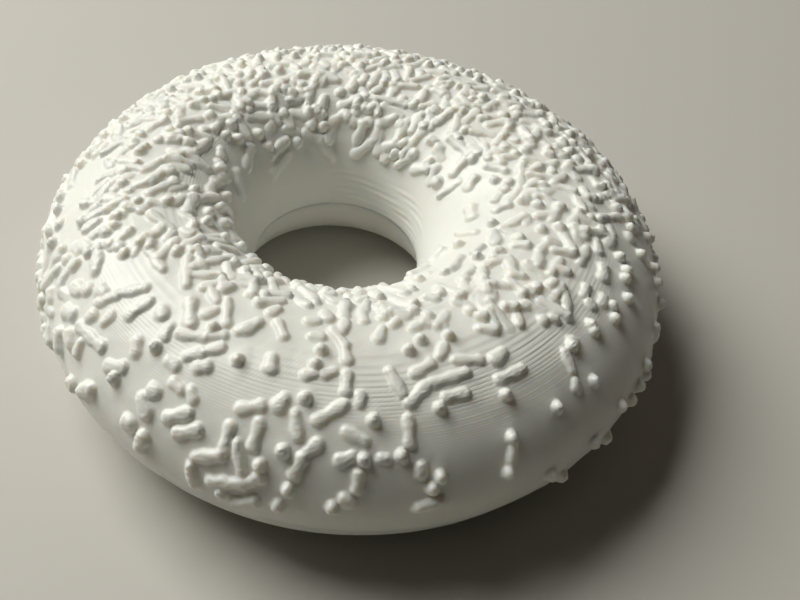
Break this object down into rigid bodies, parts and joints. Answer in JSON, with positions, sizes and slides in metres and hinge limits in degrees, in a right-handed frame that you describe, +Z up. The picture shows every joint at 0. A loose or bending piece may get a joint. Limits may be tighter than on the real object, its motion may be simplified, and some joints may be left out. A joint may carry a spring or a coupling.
{
  "type": "plastic model ring doughnut",
  "caption": "Plastic model of a ring doughnut: a rounded ring with an off-centre hole, icing with a lip and a low wavy edge, raised sprinkles and a flat base to stand on.",
  "frame": {"origin": "middle of the bounding box at the height of the flat base", "axes": "+Z up through the iced side; the hole sits towards -X and a little towards +Y"},
  "size_m": [0.092, 0.091, 0.0274],
  "materials": {
    "white_plastic": "satin, with fine printed layer lines"
  },
  "bodies": {
    "root": {"doughnut": "white_plastic"}
  },
  "joints": []
}
